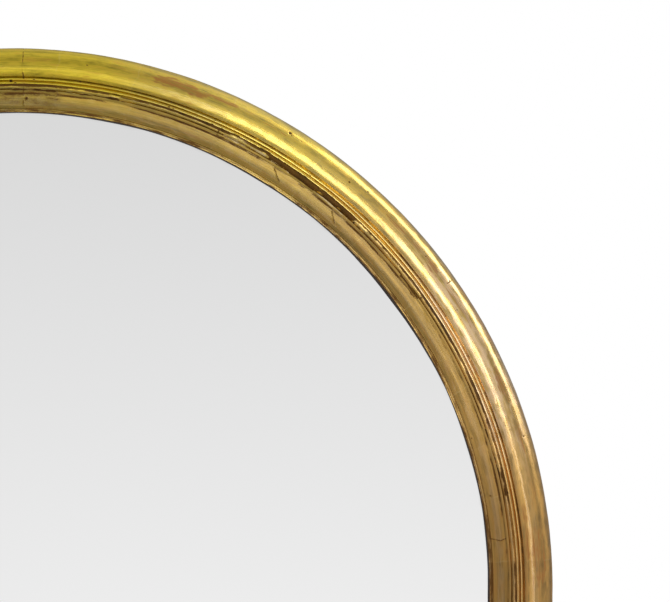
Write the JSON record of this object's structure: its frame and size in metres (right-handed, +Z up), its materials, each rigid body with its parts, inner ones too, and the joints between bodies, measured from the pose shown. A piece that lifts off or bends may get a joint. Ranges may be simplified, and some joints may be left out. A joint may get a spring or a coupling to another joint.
{
  "type": "overmantel mirror",
  "caption": "Arched overmantel mirror: a moulded gilt wood frame round a silvered glass plate, with a boarded back and swinging hanging rings.",
  "frame": {"origin": "middle of the flat underside that rests on the mantel shelf, half way through the frame's depth", "axes": "+Z up, +X to the right of someone who looks at the mirror, the front and the glass look towards -Y, the wall is on the +Y side"},
  "size_m": [0.85, 0.042, 1.15],
  "materials": {
    "gilt_wood": "gold leaf over red bole, worn, on gessoed softwood",
    "beech": "planed",
    "silvered_glass": "polished, silvered behind",
    "block_wood": "sawn, stained dark",
    "pine_board": "planed, aged",
    "screw_steel": "dulled",
    "fitting_steel": "pressed, dulled",
    "ring_steel": "bright drawn wire",
    "felt": "pressed felt"
  },
  "bodies": {
    "mirror": {"arch_left_lower": "gilt_wood", "arch_left_upper": "gilt_wood", "arch_right_upper": "gilt_wood", "arch_right_lower": "gilt_wood", "stile_left": "gilt_wood", "stile_right": "gilt_wood", "bottom_rail": "gilt_wood", "crown_tongue": "beech", "haunch_tongue_left": "beech", "haunch_tongue_right": "beech", "spring_tongue_left": "beech", "spring_tongue_right": "beech", "corner_tongue_left": "beech", "corner_tongue_right": "beech", "mirror_plate": "silvered_glass", "glazing_blocks": "block_wood", "back_board_bottom": "pine_board", "back_board_lower": "pine_board", "back_board_upper": "pine_board", "back_board_top": "pine_board", "backboard_screws": "screw_steel", "hanger_saddle_left": "fitting_steel", "hanger_saddle_right": "fitting_steel", "saddle_screws": "screw_steel", "wall_bumper_left": "felt", "wall_bumper_right": "felt"},
    "ring_left": {"hanging_ring_left": "ring_steel"},
    "ring_right": {"hanging_ring_right": "ring_steel"}
  },
  "joints": [
    {"name": "ring_left_swing", "type": "hinge", "parent": "mirror", "child": "ring_left", "pos_m": [-0.408, 0.01958, 0.66], "axis": [1, 0, 0], "range_deg": [0, 180]},
    {"name": "ring_right_swing", "type": "hinge", "parent": "mirror", "child": "ring_right", "pos_m": [0.408, 0.01958, 0.66], "axis": [1, 0, 0], "range_deg": [0, 180]}
  ]
}
